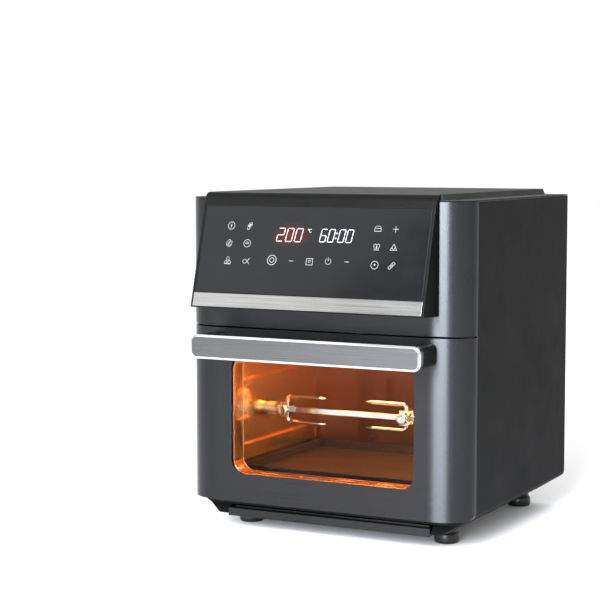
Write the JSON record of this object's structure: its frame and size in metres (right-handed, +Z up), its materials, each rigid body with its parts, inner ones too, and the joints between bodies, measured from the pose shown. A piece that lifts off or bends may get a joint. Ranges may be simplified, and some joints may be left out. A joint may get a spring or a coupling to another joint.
{
  "type": "rotisserie oven",
  "caption": "Countertop rotisserie oven with drop-down window door, bar handle, slanted touch panel, top fan heater, motorised spit with forks and pull-out crumb tray.",
  "frame": {"origin": "on the table, at the middle of the oven's overall width and of its overall depth including the handle", "axes": "+Z up, -Y out of the front, +X to the right seen from the front"},
  "size_m": [0.32, 0.34, 0.3577],
  "materials": {
    "front_steel": "dark brushed steel, satin lacquer",
    "black_steel": "matte black paint, fine grain",
    "cover_paint": "satin grey paint",
    "black_plastic": "moulded, fine texture",
    "touch_glass": "black-backed glass, polished",
    "steel_strip": "brushed along its length",
    "handle_aluminium": "brushed face, polished bevel",
    "feet_rubber": "matte",
    "seal_rubber": "silicone, matte",
    "door_glass": "clear, polished",
    "lamp_glass": "clear, warm",
    "cavity_steel": "bright rolled sheet",
    "frame_steel": "satin sheet",
    "drip_tray": "non-stick coating",
    "crumb_tray": "satin sheet",
    "heater": "oxidised tube",
    "motor_steel": "zinc plated",
    "bright_steel": "polished",
    "circuit_board": "solder mask"
  },
  "bodies": {
    "housing": {"upper_housing": "front_steel", "side_panel_left": "black_steel", "side_panel_right": "black_steel", "rear_cover": "black_steel", "base_plate": "black_steel", "top_cover": "cover_paint", "panel_housing": "black_plastic", "base_skirt": "black_plastic", "door_switch": "black_plastic", "led_display": "black_plastic", "touch_glass": "touch_glass", "steel_strip": "steel_strip", "foot_front_left": "feet_rubber", "foot_front_right": "feet_rubber", "foot_rear_left": "feet_rubber", "foot_rear_right": "feet_rubber", "cord_inlet": "feet_rubber", "lamp_lens": "lamp_glass", "lamp_bulb": "lamp_glass", "cavity_left_wall": "cavity_steel", "cavity_right_wall": "cavity_steel", "cavity_back": "cavity_steel", "cavity_floor": "cavity_steel", "cavity_ceiling": "cavity_steel", "heater_guard": "cavity_steel", "cavity_front_frame": "frame_steel", "heat_shield": "frame_steel", "fan_duct": "frame_steel", "hinge_tongue_left": "frame_steel", "hinge_tongue_right": "frame_steel", "spit_bearing": "frame_steel", "drip_tray": "drip_tray", "heater_coil": "heater", "fan_motor": "motor_steel", "rotisserie_motor": "motor_steel", "temperature_probe": "motor_steel", "display_board": "circuit_board", "power_board": "circuit_board"},
    "door": {"door_shell": "front_steel", "door_inner_frame": "frame_steel", "outer_glass": "door_glass", "inner_glass": "door_glass", "door_seal": "seal_rubber", "handle_bar": "handle_aluminium", "handle_bracket_left": "black_plastic", "handle_bracket_right": "black_plastic", "hinge_pin_left": "bright_steel", "hinge_pin_right": "bright_steel"},
    "tray": {"crumb_tray": "crumb_tray", "tray_bar": "front_steel"},
    "fan": {"fan_shaft": "bright_steel", "fan_impeller": "bright_steel", "cooling_impeller": "black_plastic"},
    "drive": {"drive_socket": "black_plastic"},
    "spit": {"spit_rod": "bright_steel"},
    "left_fork": {"fork_left": "bright_steel"},
    "right_fork": {"fork_right": "bright_steel"},
    "left_screw": {"thumbscrew_left": "bright_steel"},
    "right_screw": {"thumbscrew_right": "bright_steel"},
    "plunger": {"switch_plunger": "black_plastic"}
  },
  "joints": [
    {"name": "door_hinge", "type": "hinge", "parent": "housing", "child": "door", "pos_m": [0, -0.118, 0.037], "axis": [1, 0, 0], "range_deg": [0, 75], "stiffness_Nm_per_rad": 0.5, "springref_deg": -34.38},
    {"name": "tray_slide", "type": "slide", "parent": "housing", "child": "tray", "axis": [0, -1, 0], "range_m": [0, 0.22]},
    {"name": "fan_spin", "type": "hinge", "parent": "housing", "child": "fan", "pos_m": [0, -0.0007, 0.28], "axis": [0, 0, 1], "continuous": true},
    {"name": "spit_spin", "type": "hinge", "parent": "housing", "child": "spit", "pos_m": [0, -0.0222, 0.118], "axis": [1, 0, 0], "continuous": true},
    {"name": "drive_spin", "type": "hinge", "parent": "housing", "child": "drive", "pos_m": [-0.112, -0.0222, 0.118], "axis": [1, 0, 0], "continuous": true},
    {"name": "left_fork_slide", "type": "slide", "parent": "spit", "child": "left_fork", "axis": [1, 0, 0], "range_m": [-0.006, 0.022]},
    {"name": "right_fork_slide", "type": "slide", "parent": "spit", "child": "right_fork", "axis": [1, 0, 0], "range_m": [-0.022, 0.05]},
    {"name": "left_screw_turn", "type": "hinge", "parent": "left_fork", "child": "left_screw", "pos_m": [-0.093, -0.0322, 0.118], "axis": [0, -1, 0], "range_deg": [0, 360]},
    {"name": "right_screw_turn", "type": "hinge", "parent": "right_fork", "child": "right_screw", "pos_m": [0.049, -0.0322, 0.118], "axis": [0, -1, 0], "range_deg": [0, 360]},
    {"name": "plunger_travel", "type": "slide", "parent": "housing", "child": "plunger", "axis": [0, -1, 0], "range_m": [0, 0.0028]}
  ],
  "couplings": [
    {"joint": "drive_spin", "follows": "spit_spin", "ratio": 1},
    {"joint": "plunger_travel", "follows": "door_hinge", "m_per_rad": 0.002}
  ]
}
